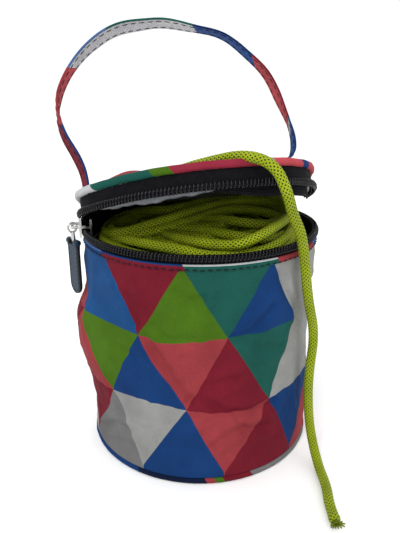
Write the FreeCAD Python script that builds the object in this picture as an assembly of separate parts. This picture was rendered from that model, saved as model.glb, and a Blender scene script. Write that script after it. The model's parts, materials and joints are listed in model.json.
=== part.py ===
import FreeCAD, Part
import math
import os

from FreeCAD import Vector

# Round zip-top pouch of printed fabric with a strap handle, holding a hank of braided cord.
# Millimetres, +Z up. The origin is the centre of the round base, on the surface it stands on.
# Azimuths are in degrees, counter-clockwise from +X seen from above; the front is -Y.

# ---- driving dimensions ---------------------------------------------------------------------
WALL_R = 53.0            # outside of the printed wall
FABRIC_T = 0.8           # printed outer fabric with its backing
FOAM_T = 2.3             # padding between fabric and lining
LINING_T = 0.5           # silvery film lining
WALL_TOP = 98.2          # where the hem starts
HEM_TOP = 101.0          # top of the turned hem
RIM_Z = 104.7            # free edge of the lower zip half
ZIP_GAP = 1.2            # gap between the two zip halves when closed, for the slider's post

FOLD_RIGHT_AZ = 34.0     # the lid folds along a chord between these two azimuths
FOLD_LEFT_AZ = 187.0
LID_REST_OPEN = 21.0     # how far the lid stands open at rest
HINGE_START_AZ = 48.0    # the rear band that joins wall and lid starts here
RIM_COIL_END_AZ = 386.0
LID_TAPE_AZ = (188.0, 374.0)
LID_COIL_AZ = (199.4, 372.0)

COIL_H = 3.2             # height of each row of zip coil
COIL_T = 1.8             # how far the coil stands out from its tape
TAPE_T = 0.7
TAPE_OUT_R = WALL_R - FABRIC_T
LID_BAND_TOP = 113.6     # top of the lid's zip tape, where the welt begins
LID_WELT_R = 1.6         # radius of the piped welt round the lid
LID_TOP = 116.4
LID_PANEL_R = 50.7
LID_FOAM_T = 2.5

BASE_WELT_R = 1.5
BASE_PANEL_R = 50.5
BOARD_T = 1.6            # stiffening board in the base

SLIDER_AZ = 193.6        # the slider is parked at the left end of the zip
SLIDER_HALF_DEG = 5.2
PLATE_T = 0.9            # thickness of the slider's two plates
PULL_TWIST = 25.0        # the pull hangs turned on the bail, its tab more to the front
TAB_LOW = 74.0
TAB_W = 9.6
TAB_T = 1.6

STRAP_W = 12.0
STRAP_T = 1.8
STRAP_LEAN = 19.0        # the handle leans back from the vertical
ANCHOR_AZ = (176.0, 42.0)
ANCHOR_TOP = 123.5
HANDLE_AXIS_Z = 124.0

CORD_D = 4.2
HANK_R = 48.5
HANK_EDGE_Z = 97.0
HANK_TOP_Z = 108.5

# The handle's centre line in its own plane: along the line from the left to the right anchor,
# and up from that line.
HANDLE_POINTS = [
    (0.0, 0.3), (-2.5, 9.0), (-8.5, 21.0), (-9.5, 34.0), (-3.0, 48.0), (8.0, 60.5),
    (23.0, 70.0), (41.0, 72.5), (61.0, 71.2), (80.0, 65.5), (93.5, 53.0),
    (102.5, 38.5), (107.0, 24.0), (108.0, 12.0), (104.5, 4.5), (97.6, 0.3),
]

# The cord's free end: out of the hank, through the gap at the right of the lid, round and over
# the lid, down the wall and along the surface that the pouch stands on.
CORD_ROUTE = [
    (40.0, -12.0, 101.0), (43.5, 7.0, 105.5), (44.5, 25.0, 109.8), (43.5, 42.0, 113.5),
    (32.0, 55.0, 118.5), (15.0, 55.0, 124.0), (-3.0, 46.0, 121.0), (-17.0, 30.0, 119.4),
    (-21.0, 11.0, 119.6), (-15.0, -6.0, 124.5), (-4.0, -20.0, 131.2), (8.5, -34.0, 139.8),
    (20.5, -44.5, 145.5), (31.5, -50.0, 138.0), (33.5, -48.5, 124.0), (39.0, -42.0, 110.5),
    (42.5, -37.5, 97.0), (45.5, -34.0, 79.0), (51.0, -27.5, 60.0), (49.0, -30.0, 42.0),
    (49.3, -31.0, 27.0), (51.5, -30.5, 11.0), (53.0, -43.0, 2.3), (54.0, -58.0, 2.15),
    (52.6, -70.0, 2.15), (53.4, -81.0, 2.15),
]

# ---- derived places -------------------------------------------------------------------------
Z_AXIS = Vector(0, 0, 1)
ORIGIN = Vector(0, 0, 0)
FOLD_NORMAL_AZ = (FOLD_RIGHT_AZ + FOLD_LEFT_AZ) / 2 + 180
FOLD_OFFSET = WALL_R * math.cos(math.radians((FOLD_LEFT_AZ - FOLD_RIGHT_AZ) / 2))
FOAM_IN_R = TAPE_OUT_R - FOAM_T
LINING_IN_R = FOAM_IN_R - LINING_T
FOAM_TOP = 95.8
TAPE_IN_R = TAPE_OUT_R - TAPE_T
COIL_OUT_R = TAPE_OUT_R + COIL_T
LID_COIL_BOTTOM = RIM_Z + ZIP_GAP
LID_WELT_MAJOR_R = TAPE_OUT_R + 0.2
WELT_Z = LID_BAND_TOP + LID_WELT_R
FOLD_Z = WELT_Z + LID_WELT_R     # the fold lies level with the top of the welt


def polar(radius, azimuth, z=0.0):
    angle = math.radians(azimuth)
    return Vector(radius * math.cos(angle), radius * math.sin(angle), z)


FRONT = polar(1, FOLD_NORMAL_AZ)
FOLD_POINT = FRONT * -FOLD_OFFSET
LID_AXIS = FRONT.cross(Z_AXIS)


# ---- shape helpers --------------------------------------------------------------------------
def disc(radius, z_low, z_high):
    return Part.makeCylinder(radius, z_high - z_low, Vector(0, 0, z_low))


def ring(r_out, r_in, z_low, z_high, az_start=0.0, az_end=360.0):
    """A flat-topped ring, or the sector of it between two azimuths."""
    height = z_high - z_low
    base = Vector(0, 0, z_low)
    sweep = az_end - az_start
    solid = Part.makeCylinder(r_out, height, base, Z_AXIS, sweep)
    solid = solid.cut(Part.makeCylinder(r_in, height, base, Z_AXIS, sweep))
    solid.rotate(ORIGIN, Z_AXIS, az_start)
    return solid


def bead(major_r, minor_r, z):
    """A full ring of round section."""
    circle = Part.Circle(Vector(major_r, 0, z), Vector(0, 1, 0), minor_r)
    face = Part.Face(Part.Wire(circle.toShape()))
    return face.revolve(ORIGIN, Z_AXIS, 360)


def half_space(side, gap=0.15):
    """Everything in front of (side 1) or behind (side -1) the lid's fold."""
    size = 300.0
    low_y = gap if side > 0 else -size - gap
    box = Part.makeBox(2 * size, size, 2 * size, Vector(-size, low_y, -size))
    box.rotate(ORIGIN, Z_AXIS, FOLD_NORMAL_AZ - 90)
    box.translate(FOLD_POINT)
    return box


def opened(solid):
    """A piece of the closed lid, turned to where the lid stands at rest."""
    turned = solid.copy()
    pivot = Vector(FOLD_POINT.x, FOLD_POINT.y, FOLD_Z)
    turned.rotate(pivot, LID_AXIS, LID_REST_OPEN)
    return turned


def rounded_wire(points):
    """Straight runs joined by tangent arcs, each as large as its two runs allow."""
    edges = []
    radii = []
    start = points[0]
    for before, corner, after in zip(points, points[1:], points[2:]):
        run_in = corner - before
        run_out = after - corner
        half_turn = run_in.getAngle(run_out) / 2
        setback = 0.45 * min(run_in.Length, run_out.Length)
        radii.append(setback / math.tan(half_turn))
        way_in = Vector(run_in).normalize()
        way_out = Vector(run_out).normalize()
        arc_start = corner - way_in * setback
        arc_end = corner + way_out * setback
        inward = (way_out - way_in).normalize()
        rise = radii[-1] * (1 / math.cos(half_turn) - 1)
        edges.append(Part.LineSegment(start, arc_start).toShape())
        edges.append(Part.Arc(arc_start, corner + inward * rise, arc_end).toShape())
        start = arc_end
    edges.append(Part.LineSegment(start, points[-1]).toShape())
    return Part.Wire(edges), radii


def swept(wire, profile, normal=None):
    """A solid swept along a wire; normal keeps a flat section square to the wire's plane."""
    sweep = Part.BRepOffsetAPI.MakePipeShell(wire)
    if normal is not None:
        sweep.setBiNormalMode(normal)
    sweep.add(profile)
    sweep.build()
    sweep.makeSolid()
    return sweep.shape()


# ---- the base -------------------------------------------------------------------------------
def build_base():
    board_low = FABRIC_T
    board_high = board_low + BOARD_T
    return {
        "base_panel": disc(BASE_PANEL_R, 0, board_low),
        "base_board": disc(BASE_PANEL_R, board_low, board_high),
        "base_lining": disc(BASE_PANEL_R, board_high, board_high + LINING_T),
        "base_welt": bead(BASE_PANEL_R + BASE_WELT_R, BASE_WELT_R, BASE_WELT_R),
    }


# ---- the wall and its rim -------------------------------------------------------------------
def build_wall():
    foot = 2 * BASE_WELT_R
    stitch_r = 0.25
    seam_half = 4.0
    seam_in = LINING_IN_R - 0.4
    tape_low = FOAM_TOP + 0.2
    return {
        "wall_panel": ring(WALL_R, TAPE_OUT_R, foot, WALL_TOP),
        "wall_padding": ring(TAPE_OUT_R, FOAM_IN_R, foot, FOAM_TOP),
        "wall_lining": ring(FOAM_IN_R, LINING_IN_R, foot, FOAM_TOP),
        "seam_binding": ring(LINING_IN_R, seam_in, foot, FOAM_TOP, 90 - seam_half, 90 + seam_half),
        "rim_hem": ring(WALL_R + 0.5, TAPE_OUT_R, WALL_TOP, HEM_TOP),
        "rim_binding": ring(TAPE_IN_R, TAPE_IN_R - 0.5, tape_low, HEM_TOP),
        "hem_stitching": bead(WALL_R + stitch_r, stitch_r, WALL_TOP - stitch_r),
    }


def build_zip_base():
    """The zip half that stays on the wall, its end stops, and the rear band to the lid."""
    tape_low = FOAM_TOP + 0.2
    coil_low = RIM_Z - COIL_H
    left = FOLD_LEFT_AZ
    right = 360 + HINGE_START_AZ
    coil_end = RIM_COIL_END_AZ
    stop_gap = 0.5
    stop_sweep = 1.1
    stop_in = TAPE_IN_R - 0.3
    stop_out = COIL_OUT_R + 0.2
    stop_low = coil_low - 0.3
    left_stop = ring(stop_out, TAPE_OUT_R, stop_low, RIM_Z + COIL_H, left, left + stop_sweep - 0.1)
    right_stop = ring(stop_out, stop_in, RIM_Z - 0.5, RIM_Z + 0.3, coil_end + stop_gap,
                      coil_end + stop_gap + stop_sweep)
    outer = ring(stop_out, TAPE_OUT_R, stop_low, RIM_Z, coil_end + stop_gap,
                 coil_end + stop_gap + stop_sweep)
    right_stop = right_stop.fuse(outer).removeSplitter()
    tape = ring(TAPE_OUT_R, TAPE_IN_R, tape_low, RIM_Z - 0.5, left, right)
    band = ring(TAPE_OUT_R + 0.5, TAPE_IN_R, HEM_TOP, LID_BAND_TOP, HINGE_START_AZ, left)
    return {
        "rim_zip_tape": tape,
        "rim_zip_coil": ring(COIL_OUT_R, TAPE_OUT_R, coil_low, RIM_Z, left + stop_sweep, coil_end),
        "zip_stops": Part.makeCompound([left_stop, right_stop]),
        "hinge_band": band,
    }


# ---- the lid --------------------------------------------------------------------------------
def lid_layers():
    """The closed lid's full round layers, before the fold divides them."""
    panel_low = LID_TOP - FABRIC_T
    foam_low = panel_low - LID_FOAM_T
    return {
        "panel": disc(LID_PANEL_R, panel_low, LID_TOP),
        "padding": disc(LID_PANEL_R, foam_low, panel_low),
        "lining": disc(LID_PANEL_R, foam_low - LINING_T, foam_low),
        "welt": bead(LID_WELT_MAJOR_R, LID_WELT_R, WELT_Z),
    }


def build_lid():
    front = half_space(1)
    rear = half_space(-1)
    nodes = {}
    for name, layer in lid_layers().items():
        nodes["lid_rear_" + name] = layer.common(rear)
        nodes["lid_" + name] = opened(layer.common(front))
    coil_top = LID_COIL_BOTTOM + COIL_H
    tape = ring(TAPE_OUT_R, TAPE_IN_R, LID_COIL_BOTTOM + 0.3, LID_BAND_TOP, *LID_TAPE_AZ)
    coil = ring(COIL_OUT_R, TAPE_OUT_R, LID_COIL_BOTTOM, coil_top, *LID_COIL_AZ)
    nodes["lid_zip_tape"] = opened(tape)
    nodes["lid_zip_coil"] = opened(coil)
    return nodes


# ---- the slider and its pull, built at azimuth 0 and turned to where they park ----------------
def cylinder_along_y(radius, length, x, z, y_middle=0.0):
    return Part.makeCylinder(radius, length, Vector(x, y_middle - length / 2, z), Vector(0, 1, 0))


def build_slider():
    middle_z = RIM_Z + ZIP_GAP / 2
    outer_r = COIL_OUT_R + 0.35
    plate_out = outer_r + PLATE_T
    inner_r = TAPE_IN_R - 0.9
    half = SLIDER_HALF_DEG
    mouth = 4.1
    throat = 2.9
    reach = outer_r * math.sin(math.radians(half)) + 0.2
    outline = [
        Vector(0, -reach, middle_z - throat), Vector(0, -1.0, middle_z - mouth),
        Vector(0, reach, middle_z - mouth), Vector(0, reach, middle_z + mouth),
        Vector(0, -1.0, middle_z + mouth), Vector(0, -reach, middle_z + throat),
    ]
    outline.append(outline[0])
    block = Part.Face(Part.makePolygon(outline)).extrude(Vector(80, 0, 0))
    plates = ring(plate_out, outer_r, 95, 115, -half, half)
    plates = plates.common(block)
    back = ring(inner_r, inner_r - PLATE_T, middle_z - 3.5, middle_z + 3.5, -4.2, 4.2)
    post = ring(outer_r, inner_r, middle_z - 0.3, middle_z + 0.3, 1.0, 4.2)
    body = plates.fuse(post).fuse(back).removeSplitter()

    bar_r = 0.65
    bar_x = plate_out + 2.75
    bar_z = middle_z + 0.4
    leg_y = 3.5
    bail = cylinder_along_y(bar_r, 2 * leg_y, bar_x, bar_z)
    for side in (-1, 1):
        leg = Part.makeCylinder(bar_r, bar_x - plate_out + 0.3,
                                Vector(plate_out - 0.3, side * leg_y, bar_z), Vector(1, 0, 0))
        bail = bail.fuse(leg)
        bail = bail.fuse(Part.makeSphere(bar_r, Vector(bar_x, side * leg_y, bar_z)))
    bail = bail.cut(body)

    # The link: a ring that hangs on the bail, a stem, and a low bar inside the tab's sleeve.
    ring_r = 2.1
    ring_wire = 0.5
    ring_z = bar_z - 0.8
    stem_w = 3.0
    stem_t = 1.2
    low_z = bar_z - 7.3
    circle = Part.Circle(Vector(bar_x + ring_r, 0, ring_z), Z_AXIS, ring_wire)
    link = Part.Face(Part.Wire(circle.toShape()))
    link = link.revolve(Vector(bar_x, 0, ring_z), Vector(0, 1, 0), 360)
    stem_top = ring_z - ring_r + 0.2
    link = link.fuse(Part.makeBox(stem_t, stem_w, stem_top - low_z,
                                  Vector(bar_x - stem_t / 2, -stem_w / 2, low_z)))
    link = link.fuse(cylinder_along_y(bar_r, TAB_W - 1.2, bar_x, low_z)).removeSplitter()

    sleeve_r = 1.55
    tab_r = TAB_W / 2
    tab_x = bar_x - TAB_T / 2
    tab = Part.makeBox(TAB_T, TAB_W, low_z - TAB_LOW - tab_r,
                       Vector(tab_x, -tab_r, TAB_LOW + tab_r))
    end = Part.makeCylinder(tab_r, TAB_T, Vector(tab_x, 0, TAB_LOW + tab_r), Vector(1, 0, 0))
    sleeve = cylinder_along_y(sleeve_r, TAB_W, bar_x, low_z)
    tab = tab.fuse(end).fuse(sleeve)
    slot_w = stem_w + 0.6
    slot = Part.makeBox(4, slot_w, 6, Vector(bar_x - 2, -slot_w / 2, low_z - 0.9))
    tab = tab.cut(slot).cut(cylinder_along_y(bar_r, 2 * TAB_W, bar_x, low_z)).removeSplitter()
    stitch = Part.makeBox(0.3, 7.0, 0.5, Vector(tab_x + TAB_T, -3.5, low_z - 3.6))
    for solid in (link, tab, stitch):
        solid.rotate(Vector(bar_x, 0, 0), Z_AXIS, PULL_TWIST)

    nodes = {
        "slider_body": body,
        "slider_bail": bail,
        "pull_link": link,
        "pull_tab": tab,
        "pull_tab_stitch": stitch,
    }
    for solid in nodes.values():
        solid.rotate(ORIGIN, Z_AXIS, SLIDER_AZ)
    pivot = polar(bar_x, SLIDER_AZ, bar_z)
    print("pull pivot", [round(v, 3) for v in pivot], "tangent azimuth", SLIDER_AZ + 90)
    return nodes


# ---- the handle -----------------------------------------------------------------------------
def build_handle():
    left = polar(WALL_R, ANCHOR_AZ[0], HANDLE_AXIS_Z)
    right = polar(WALL_R, ANCHOR_AZ[1], HANDLE_AXIS_Z)
    along = Vector(right - left).normalize()
    back = Z_AXIS.cross(along)
    lean = math.radians(STRAP_LEAN)
    up = Z_AXIS * math.cos(lean) + back * math.sin(lean)
    normal = along.cross(up)
    print("handle axis through", [round(v, 3) for v in left], "along", [round(v, 4) for v in along])

    def place(point):
        return left + along * point[0] + up * point[1]

    wire, radii = rounded_wire([place(p) for p in HANDLE_POINTS])
    start = place(HANDLE_POINTS[0])
    tangent = Vector(place(HANDLE_POINTS[1]) - start).normalize()
    across = tangent.cross(normal)

    def section(half_t, half_w, off_t=0.0, off_w=0.0):
        centre = start + across * off_t + normal * off_w
        corners = []
        for side_t, side_w in ((-1, -1), (1, -1), (1, 1), (-1, 1), (-1, -1)):
            corners.append(centre + across * (side_t * half_t) + normal * (side_w * half_w))
        return Part.makePolygon(corners)

    strap = swept(wire, section(STRAP_T / 2, STRAP_W / 2), normal)
    threads = []
    for off_t in (-STRAP_T / 2 - 0.15, STRAP_T / 2 + 0.15):
        for off_w in (-3.7, 3.7):
            threads.append(swept(wire, section(0.15, 0.3, off_t, off_w), normal))

    # Each sewn-down end lies against the inner face of its leg, so the leg can swing past it.
    stand = ANCHOR_TOP - FOLD_Z
    beside = STRAP_T + 0.6
    anchors = []
    for foot, inward in ((left, beside), (right, -beside)):
        base = foot + along * inward
        base.z = ANCHOR_TOP - stand
        box = Part.makeBox(STRAP_T, STRAP_W, stand, Vector(-STRAP_T / 2, -STRAP_W / 2, 0))
        box.rotate(ORIGIN, Z_AXIS, math.degrees(math.atan2(along.y, along.x)))
        box.translate(base)
        anchors.append(box)
    print("handle bends", [round(r, 1) for r in radii])
    return {
        "handle_strap": strap,
        "handle_stitching": Part.makeCompound(threads),
        "handle_anchors": Part.makeCompound(anchors),
    }


# ---- the cord -------------------------------------------------------------------------------
def build_cord():
    rise = HANK_TOP_Z - HANK_EDGE_Z
    cap_r = (HANK_R ** 2 + rise ** 2) / (2 * rise)
    cap = Part.makeSphere(cap_r, Vector(0, 0, HANK_TOP_Z - cap_r))
    hank = disc(HANK_R, 2 * BASE_WELT_R, HANK_TOP_Z).common(cap)

    points = [Vector(*p) for p in CORD_ROUTE]
    wire, radii = rounded_wire(points)
    profile = Part.Wire(Part.Circle(points[0], points[1] - points[0], CORD_D / 2).toShape())
    tail = swept(wire, profile)
    tail = tail.cut(hank)
    section = math.pi * CORD_D ** 2 / 4
    print("cord bends in diameters", [round(r / CORD_D, 1) for r in radii])
    print("cord tail length", round(wire.Length, 1), "volume over section x length",
          round(tail.Volume / (section * wire.Length), 4), "lowest", round(tail.BoundBox.ZMin, 3))
    return {"cord_hank": hank, "cord_tail": tail}


def main():
    os.makedirs("parts", exist_ok=True)
    nodes = {}
    for build in (build_base, build_wall, build_zip_base, build_lid, build_slider, build_handle,
                  build_cord):
        nodes.update(build())
    for name, shape in nodes.items():
        if not shape.isValid() or not shape.Solids:
            raise ValueError("bad shape: " + name)
        shape.exportStep(os.path.join("parts", name + ".step"))
    print(len(nodes), "nodes:", ", ".join(nodes))


main()
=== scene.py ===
import json
import math
import random

import bpy
import bmesh
import numpy as np
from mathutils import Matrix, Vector, noise


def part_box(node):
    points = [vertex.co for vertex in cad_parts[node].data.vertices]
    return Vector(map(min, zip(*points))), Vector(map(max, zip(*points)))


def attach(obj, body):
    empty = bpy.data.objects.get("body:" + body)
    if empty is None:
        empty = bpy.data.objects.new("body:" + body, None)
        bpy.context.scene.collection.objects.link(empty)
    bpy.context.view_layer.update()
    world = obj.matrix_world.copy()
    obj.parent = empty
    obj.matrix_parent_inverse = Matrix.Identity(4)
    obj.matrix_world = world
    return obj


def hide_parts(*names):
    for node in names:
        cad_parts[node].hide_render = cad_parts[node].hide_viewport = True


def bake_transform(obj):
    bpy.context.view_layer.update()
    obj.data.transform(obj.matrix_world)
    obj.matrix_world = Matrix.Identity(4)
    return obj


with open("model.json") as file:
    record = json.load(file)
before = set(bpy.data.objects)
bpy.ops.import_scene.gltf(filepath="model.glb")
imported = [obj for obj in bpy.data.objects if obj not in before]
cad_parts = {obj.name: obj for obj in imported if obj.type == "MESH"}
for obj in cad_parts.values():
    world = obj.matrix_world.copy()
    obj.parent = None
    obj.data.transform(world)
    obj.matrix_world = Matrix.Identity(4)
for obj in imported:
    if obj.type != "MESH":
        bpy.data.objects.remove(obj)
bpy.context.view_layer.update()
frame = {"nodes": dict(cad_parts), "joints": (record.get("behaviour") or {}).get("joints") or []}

# Round zip-top pouch of printed fabric with a strap handle and a hank of braided cord.
# Metres, +Z up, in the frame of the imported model. Azimuths are in degrees, counter-clockwise
# from +X seen from above; the front is azimuth 270.

RNG = random.Random(11)

# ---- places from the frame --------------------------------------------------------------------
WALL_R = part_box("wall_panel")[1].x
FOOT_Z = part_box("wall_panel")[0].z
WALL_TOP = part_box("wall_panel")[1].z
HEM_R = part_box("rim_hem")[1].x
HEM_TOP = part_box("rim_hem")[1].z
RIM_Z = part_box("rim_zip_coil")[1].z
COIL_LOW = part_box("rim_zip_coil")[0].z
COIL_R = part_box("rim_zip_coil")[1].x
PAD_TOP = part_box("wall_padding")[1].z
BAND_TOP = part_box("hinge_band")[1].z
BASE_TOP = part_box("base_panel")[1].z
BASE_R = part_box("base_panel")[1].x
LID_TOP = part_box("lid_rear_panel")[1].z
LID_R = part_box("lid_rear_panel")[1].y
WELT_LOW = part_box("lid_rear_welt")[0].z
WELT_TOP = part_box("lid_rear_welt")[1].z
BASE_WELT_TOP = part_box("base_welt")[1].z
FABRIC_T = 0.0008
FOAM_T = 0.0023
LINING_T = 0.0005
TAPE_T = 0.0007
TAPE_R = WALL_R - FABRIC_T
COIL_H = RIM_Z - COIL_LOW
CORD_D = 0.0042
STRAP_T = 0.0011
STRAP_W = 0.012
ROUND = 2 * math.pi * WALL_R

FOLD = next(j for j in frame["joints"] if j["name"] == "lid_fold")
FOLD_POINT = Vector(FOLD["pos_m"])
FOLD_AXIS = Vector(FOLD["axis"]).normalized()
FOLD_FRONT = Vector((0, 0, 1)).cross(FOLD_AXIS)
LID_OPEN = math.radians(-FOLD["range_deg"][0])  # the joint's lower limit is the closed lid
FOLD_REACH = 0.006       # the fabric bends over this far each side of the fold
LID_COIL_LOW = RIM_Z + 0.0012
LID_DROOP = 0.0014       # the front of the open lid hangs down a little
LID_TUCK = 0.0026        # its right side is drawn in
LID_BULGE = 0.0030       # and its left side stands out


# ---- camera -----------------------------------------------------------------------------------
CAMERA_PLACE = (0.0, -0.2481, 0.1662)
CAMERA_DOWN = 18.74      # degrees below level
CAMERA_LENS = 36.98      # for a sensor 36 mm wide


def make_camera():
    data = bpy.data.cameras.new("camera")
    data.lens = CAMERA_LENS
    data.sensor_width = 36.0
    camera = bpy.data.objects.new("camera", data)
    camera.location = CAMERA_PLACE
    camera.rotation_euler = (math.radians(90 - CAMERA_DOWN), 0, 0)
    data.clip_start = 0.01
    bpy.context.scene.collection.objects.link(camera)
    bpy.context.scene.camera = camera


make_camera()


# ---- shape helpers ----------------------------------------------------------------------------
def smooth(t):
    """From 0 to 1 with soft ends, as t goes from 0 to 1."""
    t = np.clip(t, 0.0, 1.0)
    return t * t * (3 - 2 * t)


def field(points, scale, seed=0.0):
    """Smooth noise, about -1 to 1, at each of the points."""
    shift = Vector((seed, -seed, 0.5 * seed))
    flat = points.reshape(-1, 3)
    values = [noise.noise(Vector(p) * scale + shift) for p in flat]
    return np.array(values).reshape(points.shape[:-1])


def ring_noise(azimuth, z, stretch, scale, seed):
    """Smooth noise round a ring, which changes stretch times as fast up it."""
    angle = np.radians(azimuth)
    return field(np.stack([np.cos(angle), np.sin(angle), z * stretch], axis=-1), scale, seed)


def disc_noise(radius, azimuth, scale, seed):
    """Smooth noise over a flat disc."""
    angle = np.radians(azimuth)
    spot = np.stack([radius * np.cos(angle), radius * np.sin(angle), 0 * radius], axis=-1)
    return field(spot, scale, seed)


def off_by(azimuth, middle):
    """How far an azimuth is past middle, from -180 to 180 degrees."""
    return (azimuth - middle + 180) % 360 - 180


def polar(radius, azimuth, z):
    angle = math.radians(azimuth)
    return (radius * math.cos(angle), radius * math.sin(angle), z)


def run_along(points):
    """The length along a path, at each of its points."""
    return np.concatenate([[0], np.cumsum(np.linalg.norm(np.diff(points, axis=0), axis=1))])


def add_object(name, verts, faces, uvs=None):
    """A mesh object; uvs holds one (u, v) in metres for each face corner, in order."""
    mesh = bpy.data.meshes.new(name)
    mesh.from_pydata([tuple(v) for v in verts], [], faces)
    if uvs is not None:
        layer = mesh.uv_layers.new(name="Cloth")
        layer.data.foreach_set("uv", np.asarray(uvs, np.float32).ravel())
    mesh.polygons.foreach_set("use_smooth", [True] * len(mesh.polygons))
    piece = bpy.data.objects.new(name, mesh)
    bpy.context.scene.collection.objects.link(piece)
    return piece


def outward(piece):
    """Turns the faces of a closed mesh outwards."""
    work = bmesh.new()
    work.from_mesh(piece.data)
    bmesh.ops.recalc_face_normals(work, faces=work.faces)
    work.to_mesh(piece.data)
    work.free()
    return piece


def grid_object(name, points, uv, round_u=False, cap=False):
    """A closed tube-like grid: points is (along, around, 3), closed round its second index.
    uv is (along + 1 if round_u, around + 1, 2). The ends are capped unless it goes round."""
    rows, cols = points.shape[:2]
    faces = []
    uvs = []
    for i in range(rows if round_u else rows - 1):
        k = (i + 1) % rows
        for j in range(cols):
            m = (j + 1) % cols
            faces.append((i * cols + j, k * cols + j, k * cols + m, i * cols + m))
            uvs += [uv[i, j], uv[i + 1, j], uv[i + 1, j + 1], uv[i, j + 1]]
    if cap:
        for row in (0, rows - 1):
            faces.append(tuple(row * cols + j for j in range(cols)))
            uvs += [uv[row, j] for j in range(cols)]
    return outward(add_object(name, points.reshape(-1, 3), faces, uvs))


def plain_grid(name, points, **ends):
    """A grid whose material reads no uv."""
    rows, cols = points.shape[:2]
    return grid_object(name, points, np.zeros((rows + 1, cols + 1, 2)), **ends)


def ring_object(name, section, az_start=0.0, az_end=360.0, step=1.0, warp=None, place=None,
                uv=None):
    """A ring, or a part of one, of closed section [(radius, z), ...]. warp moves (azimuth,
    radius, z); place moves the finished points; uv gives (u, v) from (azimuth, radius, z,
    length round the section)."""
    whole = az_end - az_start >= 360
    count = max(4, round((az_end - az_start) / step))
    az = np.linspace(az_start, az_end, count + 1)
    section = np.array(section)
    closed = np.vstack([section, section[:1]])
    run = run_along(closed)
    a, r = np.meshgrid(az, closed[:, 0], indexing="ij")
    z = np.broadcast_to(closed[:, 1], a.shape)
    s = np.broadcast_to(run, a.shape)
    if uv is None:
        u, v = np.radians(a + 90) * WALL_R, s
    else:
        u, v = uv(a, r, z, s)
    if warp is not None:
        a, r, z = warp(a, r, z)
    angle = np.radians(a)
    points = np.stack([r * np.cos(angle), r * np.sin(angle), z + 0 * a], axis=-1)
    points = points[: count if whole else count + 1, :-1]
    if place is not None:
        points = place(points)
    return grid_object(name, points, np.stack([u, v], axis=-1), round_u=whole, cap=not whole)


def split_side(p, q, parts):
    """Points along the straight line from p up to q, without q."""
    return [(p[0] + (q[0] - p[0]) * k / parts, p[1] + (q[1] - p[1]) * k / parts)
            for k in range(parts)]


def rounded_section(r_in, r_out, z_low, z_high, radius, count=4, edge_step=None):
    """A rectangle in (radius, z) with rounded corners, going round once."""
    points = []
    corners = [
        (r_out - radius, z_low + radius, -90), (r_out - radius, z_high - radius, 0),
        (r_in + radius, z_high - radius, 90), (r_in + radius, z_low + radius, 180),
    ]
    for r, z, start in corners:
        for k in range(count + 1):
            angle = math.radians(start + 90 * k / count)
            points.append((r + radius * math.cos(angle), z + radius * math.sin(angle)))
    if edge_step is None:
        return points
    filled = []
    for p, q in zip(points, points[1:] + points[:1]):
        parts = max(1, round(math.dist(p, q) / edge_step))
        filled += split_side(p, q, parts)
    return filled


def round_section(r, z, radius, count=16):
    turn = [math.pi + 2 * math.pi * k / count for k in range(count)]
    return [(r + radius * math.cos(t), z + radius * math.sin(t)) for t in turn]


def disc_object(name, radius, z_low, z_high, lift, rings=24, sectors=180, place=None):
    """A closed round pad. lift(radius, azimuth, is_top) moves its faces up."""
    edge = 0.5 * (z_high - z_low)
    profile = [(radius * k / rings, z_high, True) for k in range(1, rings)]
    for k in range(7):
        turn = math.radians(90 - 30 * k)
        profile.append((radius - edge + edge * math.cos(turn),
                        (z_low + z_high) / 2 + edge * math.sin(turn), k < 3))
    profile += [(radius * k / rings, z_low, False) for k in range(rings - 1, 0, -1)]
    az = np.linspace(0, 360, sectors, endpoint=False)
    r, a = np.meshgrid([p[0] for p in profile], az)
    z = np.broadcast_to([p[1] for p in profile], r.shape)
    top = np.broadcast_to([p[2] for p in profile], r.shape)
    z = z + lift(r, a, top)
    points = np.stack([r * np.cos(np.radians(a)), r * np.sin(np.radians(a)), z], axis=-1)
    verts = list(points.reshape(-1, 3))
    cols = len(profile)
    faces = []
    for i in range(sectors):
        k = (i + 1) % sectors
        for j in range(cols - 1):
            faces.append((i * cols + j, k * cols + j, k * cols + j + 1, i * cols + j + 1))
    for j, z_mid, is_top in ((0, z_high, True), (cols - 1, z_low, False)):
        height = z_mid + float(lift(np.array(0.0), np.array(0.0), np.array(is_top)))
        verts.append(np.array((0, 0, height)))
        centre = len(verts) - 1
        faces += [(i * cols + j, ((i + 1) % sectors) * cols + j, centre)
                  for i in range(sectors)]
    flat = np.array(verts)
    uvs = [(flat[i][0], flat[i][1]) for face in faces for i in face]
    if place is not None:
        flat = place(flat)
    return outward(add_object(name, flat, faces, uvs))


def frames_along(points, up=None):
    """Tangent, side and normal at each point of a path; without up they turn as little as
    they can."""
    tangents = np.gradient(points, axis=0)
    tangents /= np.linalg.norm(tangents, axis=1)[:, None]
    if up is not None:
        side = np.cross(tangents, up)
        side /= np.linalg.norm(side, axis=1)[:, None]
        return tangents, side, np.cross(side, tangents)
    sides = np.zeros_like(points)
    side = np.cross(tangents[0], (0.13, 0.21, 0.97))
    for i, t in enumerate(tangents):
        side = side - t * (side @ t)
        side /= np.linalg.norm(side)
        sides[i] = side
    return tangents, sides, np.cross(tangents, sides)


def tube_object(name, points, radii, sides):
    """A tube along points. radii is one number or one for each point."""
    points = np.asarray(points, float)
    radii = np.broadcast_to(np.asarray(radii, float), len(points))
    _, side, normal = frames_along(points)
    turn = np.arange(sides) * 2 * math.pi / sides
    rings = (points[:, None] + radii[:, None, None]
             * (np.cos(turn)[None, :, None] * side[:, None]
                + np.sin(turn)[None, :, None] * normal[:, None]))
    u, v = np.meshgrid(run_along(points), np.arange(sides + 1) / sides, indexing="ij")
    return grid_object(name, rings, np.stack([u, v], axis=-1), cap=True)


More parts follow.
